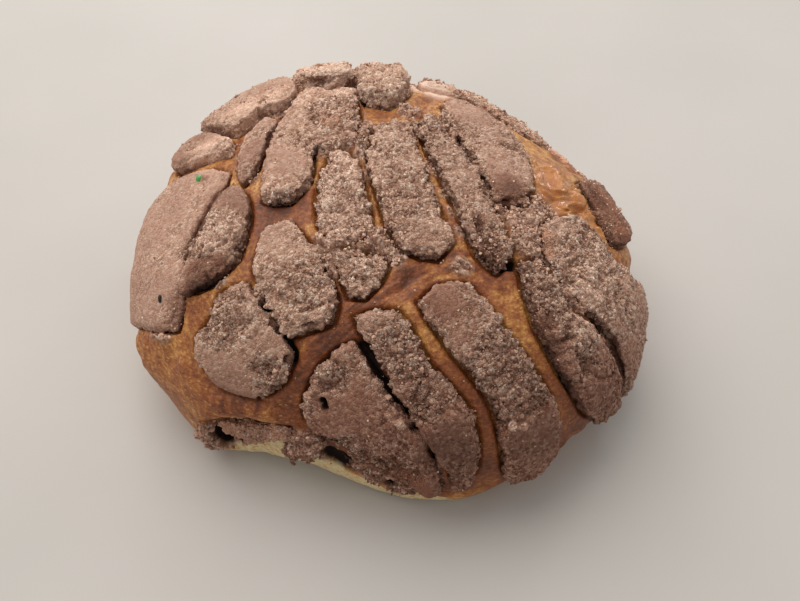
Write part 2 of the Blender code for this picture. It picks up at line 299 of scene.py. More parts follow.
# Milky sugar film, painted pale also as its sheen.
FILM_SHEEN = ((422, 90, 4.5), (436, 97, 4.5), (412, 95, 3.5))
RUST = ((460, 92, 4), (490, 106, 4), (515, 121, 4), (540, 139, 4), (560, 157, 4), (230, 430, 9),
        (265, 440, 9), (310, 452, 7), (345, 468, 7), (380, 480, 7), (410, 488, 6), (330, 118, 3),
        (525, 232, 4), (542, 244, 4), (606, 200, 5), (622, 225, 5))
print("patches of colour:", len(TONES_AND_PAINTED_LIGHT) + len(FILM_SHEEN) + len(RUST))

# %% [markdown]
# Other patches change the form. CRUMBLY and SMOOTH ones add crumble or take it away. At BRIDGES the slabs
# lean out and meet, with crumbs between them. MOUNDS rise by their fourth number, in millimetres, as
# the lumps do that stood up where the paste tore.

# %% Patches of form on the slabs
CRUMBLY = ((215, 225, 6), (206, 241, 5), (188, 252, 3), (222, 320, 7), (264, 373, 5), (300, 285, 6),
           (352, 262, 5), (332, 112, 8), (282, 198, 4), (342, 200, 7), (414, 190, 8), (440, 125, 6),
           (497, 240, 6), (510, 145, 3), (600, 260, 9), (555, 290, 7), (590, 355, 4), (505, 360, 8),
           (530, 400, 5), (395, 350, 6), (425, 412, 4), (333, 380, 4), (350, 455, 7), (395, 475, 6),
           (385, 82, 9))
SMOOTH = ((236, 198, 5), (281, 160, 6), (270, 240, 5), (228, 380, 7), (430, 92, 5), (473, 112, 6),
          (508, 182, 4), (625, 365, 7), (603, 400, 6), (440, 300, 5), (490, 302, 4), (535, 445, 8),
          (445, 440, 7), (345, 415, 7), (255, 150, 4), (546, 330, 5), (556, 360, 5), (568, 388, 5))
BRIDGES = ((190, 250, 3), (181, 275, 4), (180, 300, 4), (322, 143, 4), (340, 146, 4), (315, 190, 3),
           (350, 142, 3), (334, 240, 4), (328, 255, 4), (332, 268, 3), (455, 120, 3), (468, 146, 2.5),
           (480, 170, 2.5), (495, 200, 3), (575, 270, 5), (590, 292, 5), (600, 308, 4), (262, 298, 2.5),
           (272, 322, 2.5), (408, 414, 3), (422, 436, 3), (434, 458, 3), (352, 92, 4), (350, 80, 3),
           (365, 175, 2), (300, 88, 4), (270, 105, 3))
MOUNDS = ((283, 196, 3, 0.9), (268, 192, 3, 0.7), (513, 427, 1.0, 0.9), (524, 427, 0.9, 0.8),
          (170, 336, 1.6, 0.5), (402, 425, 1.0, 0.6), (489, 402, 0.9, 0.6))
print("patches of form:", len(CRUMBLY) + len(SMOOTH) + len(BRIDGES) + len(MOUNDS))

# %% [markdown]
# Cracks and holes. The rising dough tore the paste, and here and there a bubble left a hole, whose black is
# painted shade. A boolean cut would give hard, even edges. Here a crack is a run of picture positions with a
# width and a depth in millimetres: the points near it are pushed in, and a little noise makes its line wander
# as a real tear does. CAVITIES are the holes, each a picture position and a radius.

# %% Where the cracks and holes are
CRACKS = (
    ((165, 324), (170, 322), (173, 317), 0.35, 0.6),
    ((163, 334), (170, 332), (177, 334), 0.5, 0.9),
    ((204, 272), (206, 277), (209, 281), 0.4, 1.0),
    ((229, 184), (215, 200), (206, 216), (198, 232), (191, 248), (186, 264), (183, 280), 0.5, 1.4),
    ((266, 312), (272, 324), (280, 334), (289, 344), (289, 360), 0.8, 2.6),
    ((262, 372), (266, 376), 0.7, 1.2),
    ((300, 310), (308, 308), (320, 304), (334, 300), 0.45, 1.2),
    ((308, 326), (312, 328), 1.0, 2.2),
    ((334, 266), (338, 276), (342, 288), 0.6, 1.5),
    ((354, 275), (368, 280), (384, 280), 0.4, 0.9),
    ((463, 143), (470, 156), (478, 170), (487, 184), (494, 198), 0.5, 1.6),
    ((500, 205), (507, 201), 0.8, 1.6),
    ((479, 218), (481, 230), (482, 242), 0.9, 2.6),
    ((418, 150), (424, 160), 0.6, 1.2),
    ((503, 324), (507, 326), (511, 330), 0.5, 1.0),
    ((558, 344), (564, 340), (570, 338), (578, 336), 0.6, 1.6),
    ((592, 372), (600, 379), (609, 378), (618, 373), 0.35, 0.8),
    ((579, 312), (598, 332), (605, 342), (611, 352), (616, 362), (621, 374), (623, 384), 0.8, 2.2),
    ((547, 264), (556, 282), (568, 300), (579, 312), 0.6, 1.7),
    ((322, 402), (325, 409), 0.7, 1.6),
    ((364, 346), (371, 359), (379, 374), (387, 386), (396, 399), (405, 413), (414, 428), 0.8, 2.6),
    ((331, 456), (340, 462), (350, 468), 1.4, 2.4),
    ((316, 446), (322, 452), 0.9, 1.6),
    ((378, 462), (388, 470), (396, 474), 0.7, 1.4),
    ((426, 409), (429, 411), 0.6, 1.2),
    ((306, 83), (318, 84), (332, 85), 1.4, 2.0),
)
CAVITIES = ((217, 427, 1.8), (223, 432, 2.1), (229, 437, 2.1), (236, 442, 1.6), (322, 450, 1.8),
            (331, 457, 2.3), (341, 463, 2.5), (350, 468, 1.8), (389, 481, 1.6), (368, 353, 0.9),
            (385, 381, 0.9), (322, 402, 0.8), (324, 408, 0.8), (332, 450, 1.9), (341, 454, 2.0),
            (349, 458, 1.7), (506, 268, 1.8))
print("cracks:", len(CRACKS), "holes:", len(CAVITIES))

# %% How deep the cracks cut
WANDER = 0.8                             # how far a crack strays, in widths


def line_distance(places, line):
    """Distance of each place from a run of points, and how far along the run its nearest point is."""
    best, run, passed = np.full(len(places), 1e9), np.zeros(len(places)), 0.0
    for a, b in zip(line, line[1:]):
        span = b - a
        length = np.linalg.norm(span)
        t = np.clip((places - a) @ span / length ** 2, 0, 1)
        away = np.linalg.norm(places - a - t[:, None] * span, axis=1)
        nearer = away < best
        best[nearer], run[nearer] = away[nearer], passed + t[nearer] * length
        passed += length
    return best, run


def crack_depth(places, stray):
    """How deep the cracks cut at each place, in mm."""
    depth = np.zeros(len(places))
    for *line, width, deepest in CRACKS:
        away, _ = line_distance(places, [spot(x, y) for x, y in line])
        near = away < 4 * width
        away = np.abs(away[near] + WANDER * width * stray[near])
        depth[near] = np.maximum(depth[near], deepest * np.exp(-(away / width) ** 2))
    return depth


print("deepest crack in mm:", max(deepest for *_, deepest in CRACKS))

# %% [markdown]
# Each point of a slab learns how high it lies over the crust and how steep it is there. Steep points are the
# broken sides: they are rougher, and drawn in a little at the foot, which gives the dark line under each
# slab. Low at the front the paste is darker, partly a browner bake and partly painted shade, and the slope
# of an even dome tells where that is.

# %% What a point of a slab learns
DOME = (64, 62, 47)                      # mm, half length, half width and height of an even dome
TO_FRONT = (0.3, -0.95, 0)


def over_crust(places, out):
    """Height over the crust in mm, and steepness: 0 on top of a slab to 1 on its broken sides."""
    height, facing = np.empty(len(places)), np.empty(len(places))
    for i, (p, n) in enumerate(zip(places.tolist(), out.tolist())):
        _, up, _, away = crust_tree.find_nearest(p)
        height[i], facing[i] = away, Vector(n).dot(up)
    return height, 1 - step(0.25, 0.85, np.abs(facing))


def low_front_shade(places):
    """0 on the crown to 1 low at the front of the bun, for painted shade there and a browner bake."""
    slope = places / np.array(DOME) ** 2
    slope /= np.linalg.norm(slope, axis=1, keepdims=True)
    return step(0.35, 0.85, slope @ TO_FRONT)


def milky_sheen(places):
    """1 on the milky sugar film, painted pale also for its sheen, with a ragged edge, 0 elsewhere."""
    return patch_mask(places, FILM_SHEEN) * step(-0.9, -0.2, swell(places, 2.5, 33, 3))


print("darkening at the front foot:", low_front_shade(np.array([[0, -60, 5]])).round(2))

# %% [markdown]
# A crumbly slab is lumps on lumps: clods as large as a peppercorn, crumbs, and specks on the crumbs, with
# torn skin between them. One noise with many octaves is simpler, but it looks like rock. Lumps of a few real
# sizes look like paste that broke. Smooth paste only gets low, long swells.

# %% The lumps of one slab
CLOD, CHUNK = 4.5, 6.5                   # mm, lumps on top, and along the broken sides
CRUMB, SPECK, TEAR = 1.9, 0.85, 3.4      # mm, crumbs, specks on them, and folds of torn skin


def broken_forms(places, seed):
    """Clods, chunks, crumbs, specks and torn skin, each as one number a point."""
    clod = lumps(places + swell(places, 3, seed)[:, None], CLOD, seed + 7)
    chunk = lumps(places + 1.5 * swell(places, 4, seed)[:, None], CHUNK, seed + 6)
    big, small = lumps(places, CRUMB, seed), lumps(places, SPECK, seed + 5)
    return clod, chunk, big, small, swell(places, TEAR, seed + 1, 3)


def surface_push(places, seed, crumble, clod, big, small, tear):
    """How far the top of a slab is pushed out, in mm: rough where it crumbles, even elsewhere."""
    rough = 0.6 * (big - 0.7) + 0.4 * (small - 0.7) + 0.8 * tear
    rough += 0.7 * (clod - 0.8)
    fine = 0.10 * (small - 0.7) + 0.12 * swell(places, 1.1, seed + 2, 2) + 0.4 * swell(places, 7, seed + 3)
    return crumble * (rough - 0.25) + (1 - crumble) * fine


print("sizes of lumps in mm:", CHUNK, CLOD, CRUMB, SPECK)

# %% How much crumbles, and how the sides break
LEAN = 1.3                               # mm, how far the sides lean out at bridges
FOOT_IN = 0.75                           # mm, how far the foot of a side is drawn in


def crumble_share(places, seed, share, wall):
    """How crumbly each point is, from 0.03 to 1: its slab's own share, uneven, and changed by patches."""
    crumble = share + 0.5 * swell(places, 7, seed)
    crumble = crumble + 0.75 * patch_mask(places, CRUMBLY) - 0.5 * patch_mask(places, SMOOTH)
    return np.clip(crumble + 0.12 * wall, 0.03, 1)


def break_sides(push, places, seed, wall, height, crumble, calm, chunk, big):
    """Adds to push what the broken sides do: lumps, a lean at bridges, and a foot drawn in."""
    push += wall * (0.5 + calm * (0.55 * (chunk - 0.8) + 0.35 * swell(places, 2.4, seed + 4, 3)))
    push += wall * crumble * calm * 0.6 * (big - 0.6)
    push += wall * patch_mask(places, BRIDGES) * (LEAN + 0.9 * swell(places, 2.6, 31, 2))
    push -= wall * calm * FOOT_IN * (1 - step(0.6, 2.0, height))


print("the foot of each side is drawn in by", FOOT_IN, "mm")

# %% [markdown]
# Now the slabs themselves. The pushes are added up, the points moved, and what the material has to know is
# kept as attributes, one number a point: how crumbly it is; whether it lies in a pit or on a crest, for
# painted shade in pits and cracks and a painted highlight on crests; how much it is a side that faces the
# front, away from the lamps, for painted shade and a browner colour; how pale it is, with painted light and
# shade in that number; and where rust, film and holes are, the holes painted black as painted shade.

# %% Make the slabs
SLAB_FACE = 0.32                         # mm, width of a slab's faces
ROUNDED_KEEP = 0.4                       # share of the roughness that rounded slabs keep on their sides
HOLE, BOTTOM = 1.5, 0.7                  # mm, depth of a hole, and what stays under it
TO_SHADE = (0.45, -0.8, -0.2)            # towards the side that gets the least light


def make_slab(name, seed):
    short = name.removeprefix("topping_")
    share, pale_and_lit = PASTE[short]
    calm = ROUNDED_KEEP if short in ROUNDED else 1.0
    slab = fine_copy(nodes[name], "cocoa_slab_" + short, SLAB_FACE, ROUNDED.get(short, 2))
    mesh = slab.data
    places, out = corner_array(mesh), normal_array(mesh)
    height, wall = over_crust(places, out)
    film_sheen, hole, low = milky_sheen(places), patch_mask(places, CAVITIES), low_front_shade(places)
    crumble = crumble_share(places, seed, share, wall) * (1 - film_sheen) * (1 - hole)

    clod, chunk, big, small, tear = broken_forms(places, seed)
    push = surface_push(places, seed, crumble, clod, big, small, tear)
    break_sides(push, places, seed, wall, height, crumble, calm, chunk, big)
    push += patch_sum(places, MOUNDS) * (1 - wall)
    cut = crack_depth(places, swell(places, 1.4, 9)) * step(0.6, 1.8, height)
    push -= np.minimum(cut + HOLE * hole, np.maximum(height - BOTTOM, 0))
    place_points(mesh, places + out * push[:, None])
    mesh.shade_smooth()

    # This relief gives painted shade in pits and cracks and a painted highlight on crests.
    relief = 0.7 * (big - 0.7) + 0.5 * (small - 0.65) + 0.5 * tear + 0.8 * (clod - 0.75)
    # A painted highlight along the top edge of each broken side.
    rim = 4 * wall * (1 - wall) * step(0.8, 1.8, height)
    # The shade number: bake, painted shade low at the front, painted light and shade from the patches.
    pale = pale_and_lit * (1 - 0.5 * low) + 0.24 * crumble + 0.16 * rim + patch_sum(places, TONES_AND_PAINTED_LIGHT)
    grainy = np.clip((0.25 + 0.6 * crumble + 0.45 * low) * (0.4 + 0.6 * calm), 0, 0.95)
    # side: painted shade and a browner colour on broken sides, most where they face away from the lamps.
    for label, values in {
            "crumble": crumble, "relief_shading": relief * crumble - 0.5 * cut,
            "side": wall * calm * (0.3 + 0.7 * step(-0.1, 0.7, out @ TO_SHADE)),
            "shade": pale, "grain": grainy * (1 - film_sheen), "film_sheen": film_sheen, "cavity": hole,
            "rust": patch_mask(places, RUST) * (0.75 + 0.6 * swell(places, 3, 40, 2))}.items():
        note(mesh, label, values)
    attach(slab, "root")
    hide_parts(name)
    return slab


slabs = {name: make_slab(name, number) for number, name in enumerate(slab_names, 1)}
print("faces in all slabs:", sum(len(s.data.polygons) for s in slabs.values()))

# %% [markdown]
# The dough under the slabs is one skin that swelled up in the gaps. It could be sculpted by hand. Here the
# distance to the nearest slab says whether a point lies in a narrow gap, in the open, or hidden under the
# topping, so the swelling follows the slabs by itself. Low at the left it stays flat.

# %% The gaps between the slabs
DOUGH_FACE = 0.55                        # mm, width of the dough's faces
FLAT = ((220, 432, 8), (245, 438, 9), (275, 442, 8), (295, 440, 6))
dough = fine_copy(nodes["bun"], "baked_dough", DOUGH_FACE, 8)
places, out = corner_array(dough.data), normal_array(dough.data)
to_slab = np.array([slab_tree.find_nearest(p)[3] for p in places.tolist()])
groove = step(0.2, 1.1, to_slab) * (1 - step(3, 7, to_slab))
groove *= 1 - patch_mask(places, FLAT)
open_crust = step(1.5, 5, to_slab)
top_side = step(-0.2, 0.2, out[:, 2])
print("share of the dough in narrow gaps:", round(float((groove > 0.5).mean()), 2))

# %% [markdown]
# Along the fold across the crown the dough stretched into threads, which run beside the fold: noise that is
# long along it and short across it draws them. The bulge at the right has no topping. It is wrinkled like
# skin, and the wrinkles are where a stretched noise passes through zero.

# %% The fold and the bulge
FOLD = ((240, 405), (270, 385), (300, 362), (325, 342), (350, 322), (375, 300), (400, 283), (430, 270),
        (470, 263), (492, 270))
BULGE = ((548, 182, 8), (566, 195, 9), (590, 215, 8), (560, 215, 6))
FOLD_REACH = 6                           # mm to each side of the fold
THREAD = (6, 0.8, 3)                     # mm, a thread's length, width and height
WRINKLE = (9, 2.4, 2.4)                  # mm
from_fold, along_fold = line_distance(places, [spot(x, y) for x, y in FOLD])
on_fold = np.exp(-(from_fold / FOLD_REACH) ** 2) * top_side
beside = np.column_stack((along_fold / THREAD[0], from_fold / THREAD[1], places[:, 2] / THREAD[2]))
threads = np.array([noise.fractal(p, FADE, FINER, 3) for p in beside.tolist()])
bulge = patch_mask(places, BULGE)
wrinkles = np.maximum(1 - 5 * np.abs([noise.noise(p) for p in (places / WRINKLE).tolist()]), 0)
print("length of the fold in mm:", round(float(along_fold.max())))

# %% [markdown]
# Not all of the paste stayed in the slabs. RESIDUE is where a rough skin of it was left on the dough. HEAPS
# of crumbs fill gaps between slabs, and their fourth number is their height in millimetres. They could be
# thousands of loose crumbs, but most would never show, so the dough itself rises in lumps of the paste's
# colour. SEAMS are gaps so deep that they look black: the dough sinks there, as it does in the holes, and
# is painted black there as painted shade.

# %% Paste on the dough, heaps and dark seams
RESIDUE = ((340, 175, 2), (360, 137, 4), (365, 162, 3), (437, 160, 3), (318, 146, 4), (380, 250, 4),
           (320, 92, 5), (345, 88, 4), (300, 445, 4), (325, 453, 4), (350, 463, 4), (375, 473, 4),
           (400, 482, 4), (425, 489, 3.5), (250, 175, 2), (395, 262, 3), (440, 165, 1.6), (448, 190, 2),
           (456, 212, 2.2), (464, 234, 2.2), (276, 104, 3), (460, 272, 2.5), (225, 283, 2), (500, 206, 3),
           (240, 424, 2), (222, 438, 4))
HEAPS = ((318, 92, 3, 2.2), (330, 94, 3, 2.2), (342, 92, 3, 2.2), (356, 128, 2.5, 2.2), (362, 142, 2.5, 2.2),
         (367, 156, 2.5, 2.0), (371, 168, 2.2, 1.6), (383, 124, 3, 1.6), (396, 121, 3, 1.4),
         (409, 120, 3, 1.2), (421, 124, 3, 1.4), (433, 116, 2.5, 1.4), (322, 138, 2.5, 2.0),
         (520, 213, 4, 1.8), (532, 226, 5, 2.2), (546, 240, 5, 2.2), (528, 246, 5, 2.0), (514, 228, 3, 1.5),
         (335, 148, 3, 2.0), (345, 139, 3, 2.5), (322, 250, 3.5, 2.5), (331, 262, 3, 2.5),
         (336, 273, 2.5, 1.5), (345, 246, 3, 2.0), (360, 246, 3, 2.0), (373, 243, 3, 1.5),
         (449, 127, 3, 2.6), (456, 138, 2.5, 2.2), (463, 150, 2.2, 1.4), (470, 161, 2.2, 1.6),
         (477, 172, 2.2, 1.6), (484, 183, 2.2, 1.6), (491, 193, 2.2, 1.6), (498, 203, 2.2, 1.4),
         (552, 272, 3, 2.2), (560, 284, 3, 2.4), (568, 295, 3, 2.4), (577, 304, 2.5, 1.8),
         (586, 314, 2.2, 1.0), (594, 324, 2.2, 0.8), (602, 335, 2.2, 0.8), (610, 347, 2.2, 0.6),
         (376, 367, 1.8, 0.8), (419, 427, 2, 1.0), (427, 440, 2, 1.0), (258, 300, 2.5, 1.6),
         (266, 312, 2.2, 1.0), (273, 325, 2.2, 1.0), (281, 336, 2, 0.8), (303, 431, 3, 2.4),
         (313, 436, 3, 2.4), (353, 455, 2.2, 1.4), (363, 459, 3, 2.2), (373, 463, 3, 2.2),
         (383, 467, 3, 2.0), (393, 471, 3, 2.0), (403, 476, 3, 1.8), (413, 482, 2.5, 1.4),
         (298, 447, 3, 2.0), (306, 453, 2.5, 1.4), (209, 424, 2.2, 1.4), (207, 433, 2.0, 1.4),
         (213, 441, 2.2, 1.0), (174, 337, 2.5, 1.0))
SEAMS = (
    ((364, 346), (371, 359), (379, 374), (387, 386), (396, 399), (405, 413), (414, 428), (424, 444)),
    ((266, 312), (272, 324), (280, 334), (289, 344), (289, 360)),
    ((579, 312), (598, 332), (611, 352), (616, 362), (621, 374), (623, 384)),
)
SEAM_REACH = 1.3                         # mm to each side
heaps = np.max([rise * patch_mask(places, (patch,), low_spot) for *patch, rise in HEAPS], axis=0)
cavity = np.maximum(patch_mask(places, CAVITIES, low_spot), patch_mask(places, CAVITIES))
for line in SEAMS:
    away, _ = line_distance(places, [low_spot(x, y) for x, y in line])
    cavity = np.maximum(cavity, 0.9 * np.exp(-(away / SEAM_REACH) ** 2))
heaps *= step(0.1, 0.5, to_slab) * (1 - cavity)
residue = np.maximum(patch_mask(places, RESIDUE, low_spot), np.minimum(heaps, 1))
residue *= step(0.2, 0.7, to_slab) * (1 - cavity)
print("highest heap in mm:", round(float(heaps.max()), 1))

# %% Push the dough
SWOLLEN, HOLLOW = 2.2, 2.5               # mm, how far gaps swell up, and how deep the hollows are
LEFT_LUMP = 1.6                          # mm, lumps of the paste that was left
crumb_rise = 0.9 * lumps(places, LEFT_LUMP, 4) + 0.5 * swell(places, 3, 8, 2)
skin = swell(places, 2.8, 5, 3)
push = SWOLLEN * groove + 0.2 * swell(places, 7, 3) + 0.16 * skin * (1 - bulge)
push += 0.4 * on_fold * threads + 0.9 * bulge * wrinkles + residue * (0.2 + crumb_rise)
push += heaps * (0.7 + 0.6 * swell(places, 3.4, 17, 2)) - HOLLOW * cavity
push *= step(0.5, 3, places[:, 2])       # the flat base stays flat
place_points(dough.data, places + out * push[:, None])
dough.data.shade_smooth()
print("faces in the dough:", len(dough.data.polygons))

# %% [markdown]
# How brown the crust is depends on the oven: the open fold is darkest, the narrow gaps stay golden, and the
# foot, which never left the tray, stays pale. One number a point, from 0 pale to 1 dark, carries that, and
# painted light and shade go into it too. The baking patches have a fourth number that makes a patch darker,
# or paler below 0. Dark patches at the feet of the upper left slabs, beside the right side slab and at the
# front left are painted shadow where slabs overhang the dough, and the paler patch between the two left
# slabs is painted light. Low at the front the gaps get painted shade.

# %% How far the crust is baked
# Paler patches; the one between the two left slabs is painted light.
PALER = ((520, 320, 8), (545, 370, 8), (430, 330, 6), (440, 220, 6), (235, 287, 5))
# Painted shadow at the feet of slabs.
UNDERCUT_SHADOW = ((272, 211, 3), (285, 212, 3), (298, 206, 3), (530, 330, 2))
# Baking patches; the darker ones at the feet of slabs are painted shadow.
OVEN_AND_SHADOW = ((280, 218, 9, 0.15), (248, 240, 9, 0.15), (535, 150, 9, -0.15), (400, 112, 7, -0.05),
        (262, 420, 8, -0.1), (548, 400, 6, -0.2), (560, 425, 6, -0.2), (522, 350, 4, -0.15),
        (540, 385, 3, -0.15), (470, 270, 7, -0.1), (350, 322, 9, 0.12), (170, 380, 9, 0.03),
        (290, 215, 5, 0.1), (330, 445, 2, 0.4), (340, 451, 2, 0.4), (349, 457, 1.5, 0.3))
bake = 0.48 + 0.30 * on_fold + 0.05 * open_crust - 0.04 * groove
bake += 0.15 * swell(places, 9, 12, 2)
bake += 0.16 * swell(places, 3.2, 14, 3)
bake -= 0.14 * bulge - 0.12 * skin * open_crust * (1 - bulge)
bake -= 0.12 * patch_mask(places, PALER)
bake += 0.2 * patch_mask(places, UNDERCUT_SHADOW, low_spot)
bake += patch_sum(places, OVEN_AND_SHADOW)
# Paler near the base; darker in the gaps low at the front, which is painted shade.
bake -= 0.2 * (1 - step(3, 12, places[:, 2])) - 0.34 * low_front_shade(places) * groove
print("baked numbers from", bake.min().round(2), "to", bake.max().round(2))

# %% The pale foot, and what the crust's material reads
FOOT_TOP = ((-38, 4), (-33, 10), (-26, 13), (-18, 14), (-10, 9), (0, 6), (8, 4), (20, 2))   # x, z in mm
foot_top = np.interp(places[:, 0], [x for x, _ in FOOT_TOP], [z for _, z in FOOT_TOP])
foot_top += swell(places, 5, 21, 2)
foot = (1 - step(-0.8, 0.8, places[:, 2] - foot_top)) * step(0.0, 0.4, -out[:, 1])
foot *= step(-42, -34, places[:, 0]) * (1 - step(14, 26, places[:, 0]))
# Heaps low at the front get a darker colour, partly painted shade.
for label, values in {
        "bake": np.clip(bake, 0.12, 1) * (1 - foot) + 0.02 * foot, "fibre": threads * on_fold,
        "film_sheen": milky_sheen(places), "residue": residue, "cavity": cavity, "lump": crumb_rise, "shine": bulge,
        "heap": np.minimum(heaps / 2.2, 1) * (1 - 0.85 * low_front_shade(places)),
        "open": step(1.5, 4.0, to_slab) * (1 - 0.6 * on_fold) * (1 - bulge)}.items():
    note(dough.data, label, values)
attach(dough, "root")
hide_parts("bun")
print("points of the pale foot:", int((foot > 0.5).sum()))

# %% [markdown]
# Materials. Colours are written as sRGB hex, as a picture program shows them, and one function makes them
# linear. A second function adds any node, with its settings and links, so that a material reads as a list.
# Scales are 1000 over a size in millimetres, because Blender counts pattern cells in a metre. The numbered
# inputs of MapRange are: 1 and 2 what comes in, 3 and 4 what goes out. Those of Mix are: 6 and 7 the colours.

# %% Helpers for materials
def linear(hex_colour):
    parts = [int(hex_colour[i:i + 2], 16) / 255 for i in (1, 3, 5)]
    return [p / 12.92 if p <= 0.04045 else ((p + 0.055) / 1.055) ** 2.4 for p in parts] + [1.0]


def add(tree, kind, inputs=None, stops=(), **settings):
    """Adds a shader node. inputs maps a socket's name or number to a value or to another node's output,
    and stops are the places and hex colours of a colour ramp."""
    node = tree.nodes.new("ShaderNode" + kind)
    for key, value in settings.items():
        setattr(node, key, value)
    for key, value in (inputs or {}).items():
        if isinstance(value, bpy.types.NodeSocket):
            tree.links.new(value, node.inputs[key])
        else:
            node.inputs[key].default_value = value
    for _ in stops[2:]:
        node.color_ramp.elements.new(0.5)
    for number, (position, colour) in enumerate(stops):
        node.color_ramp.elements[number].position = position
        node.color_ramp.elements[number].color = linear(colour)
    return node


def new_material(name):
    """An empty node material, and its tree."""
    material = bpy.data.materials.new(name)
    material.use_nodes = True
    material.node_tree.nodes.clear()
    return material, material.node_tree


print("cocoa brown in linear numbers:", [round(c, 3) for c in linear("#8f7468")])

# %% [markdown]
# The topping is a baked paste of sugar, fat, flour and cocoa, pressed in a mould and torn by the rising
# dough. It is dry and matt, so roughness is high and there is no coat. Its sugar shows as light dots with
# dark gaps. Real grains are about 0.4 mm. Voronoi cells 0.6 mm wide draw them a little coarser, so that
# they show, and the attributes bring the larger crumbs. A photograph of paste would carry its own shadows.

# %% Cocoa sugar paste, baked and torn: cells and tones
GRAIN = 1000 / 0.6
# The milky colour is paler than the sugar film alone, as a painted sheen; the black is painted shade in
# holes.
MILKY_SHEEN, HOLE_SHADE = linear("#eac8b3"), linear("#20110b")
cocoa, tree = new_material("cocoa_sugar_paste_baked_torn")
where = add(tree, "TexCoord").outputs["Object"]
kept = {name: add(tree, "Attribute", attribute_name=name).outputs["Fac"]
        for name in ("crumble", "relief_shading", "side", "grain", "rust", "shade", "film_sheen", "cavity")}
patches = add(tree, "TexNoise", {"Vector": where, "Scale": 1000 / 9, "Detail": 3.0}).outputs["Fac"]
cells = add(tree, "TexVoronoi", {"Vector": where, "Scale": GRAIN}).outputs["Color"]
own_tone = add(tree, "SeparateColor", {"Color": cells}).outputs["Red"]
plain = add(tree, "ValToRGB", {"Fac": patches},
            ((0.3, "#9e7663"), (0.55, "#af8571"), (0.75, "#bd947f"))).outputs["Color"]
torn = add(tree, "ValToRGB", {"Fac": patches}, ((0.3, "#cfa48a"), (0.7, "#e9c4a9"))).outputs["Color"]
grain_tone = add(tree, "ValToRGB", {"Fac": own_tone},
                 ((0.0, "#754f40"), (0.14, "#9c705c"), (0.38, "#c0937c"), (0.7, "#d8b19b"),
                  (0.88, "#efd0ba"), (1.0, "#fce8d8"))).outputs["Color"]
# Painted shade in pits, in cracks and on sides turned from the lamps, and a painted highlight on crests.
pit_shade = add(tree, "MapRange", {"Value": kept["relief_shading"], 1: -0.3, 2: -1.2, 3: 0.0, 4: 0.6}).outputs["Result"]
crest_highlight = add(tree, "MapRange", {"Value": kept["relief_shading"], 1: -0.1, 2: 0.5, 3: 0.0, 4: 0.7}).outputs["Result"]
side_shade = add(tree, "Math", {0: kept["side"], 1: 0.5}, operation="MULTIPLY").outputs[0]
print("sugar grains in a millimetre:", round(GRAIN / 1000, 1))

# %% [markdown]
# The tones are laid over each other like coats of paint, each by its own share. Dark in pits and on sides
# turned from the light is painted shade, and light on crests is a painted highlight. The shade number then
# multiplies the whole: a well-baked slab is dark, and so is painted shade. A pale slab is lifted above its
# paint, and so is painted light, and both fade towards beige as a painted sheen.

# %% Cocoa sugar paste: coats of colour
colour = plain
for share, over in ((kept["crumble"], torn), (kept["grain"], grain_tone), (pit_shade, linear("#7c4a33")),
                    (crest_highlight, linear("#ebcab2")), (side_shade, linear("#6b4436")),
                    (kept["rust"], linear("#d6a083"))):
    colour = add(tree, "Mix", {"Factor": share, 6: colour, 7: over}, data_type="RGBA").outputs[2]
# The shade number carries bake and painted light and shade; above 1 it lifts the paint as painted light.
baked = add(tree, "ValToRGB", {"Fac": kept["shade"]},
            ((0.0, "#3f2d26"), (0.5, "#c1ada5"), (1.0, "#ffffff"))).outputs["Color"]
colour = add(tree, "Mix", {"Factor": 1.0, 6: colour, 7: baked}, data_type="RGBA",
             blend_type="MULTIPLY").outputs[2]
painted_light_lift = add(tree, "MapRange", {"Value": kept["shade"], 1: 1.0, 2: 1.6, 3: 1.0, 4: 1.6}).outputs["Result"]
colour = add(tree, "VectorMath", {0: colour, "Scale": painted_light_lift}, operation="SCALE").outputs[0]
# From a shade of 1.15 up, the paint fades towards beige: a painted sheen.
painted_sheen = add(tree, "MapRange", {"Value": kept["shade"], 1: 1.15, 2: 1.8, 3: 0.0, 4: 0.4}).outputs["Result"]
# Holes are painted near black: painted shade.
hole_shade = add(tree, "MapRange", {"Value": kept["cavity"], 1: 0.08, 2: 0.55}).outputs["Result"]
for share, over in ((painted_sheen, linear("#e6d2c2")), (kept["film_sheen"], MILKY_SHEEN), (hole_shade, HOLE_SHADE)):
    colour = add(tree, "Mix", {"Factor": share, 6: colour, 7: over}, data_type="RGBA").outputs[2]
print("nodes so far:", len(tree.nodes))

# %% Cocoa sugar paste: relief and gloss
BUMP = 0.0004                            # metres, height of the finest relief
edges = add(tree, "TexVoronoi", {"Vector": where, "Scale": GRAIN}, feature="DISTANCE_TO_EDGE")
grain_up = add(tree, "MapRange", {"Value": edges.outputs["Distance"], 1: 0.0, 2: 0.3}).outputs["Result"]
powder = add(tree, "TexNoise", {"Vector": where, "Scale": GRAIN, "Detail": 4.0}).outputs["Fac"]
relief = add(tree, "Math", {0: grain_up, 1: powder}, operation="ADD").outputs[0]
gloss = add(tree, "MapRange", {"Value": kept["film_sheen"], 3: 0.82, 4: 0.4}).outputs["Result"]
strength = add(tree, "MapRange", {"Value": kept["crumble"], 3: 0.5, 4: 1.0}).outputs["Result"]
bump = add(tree, "Bump", {"Strength": strength, "Distance": BUMP, "Height": relief})
shader = add(tree, "BsdfPrincipled", {"Base Color": colour, "Roughness": gloss, "IOR": 1.45,
                                      "Specular IOR Level": 0.35, "Normal": bump.outputs["Normal"]})
add(tree, "OutputMaterial", {"Surface": shader.outputs[0]})
for slab in slabs.values():
    slab.data.materials.append(cocoa)
print("nodes in the paste material:", len(tree.nodes))

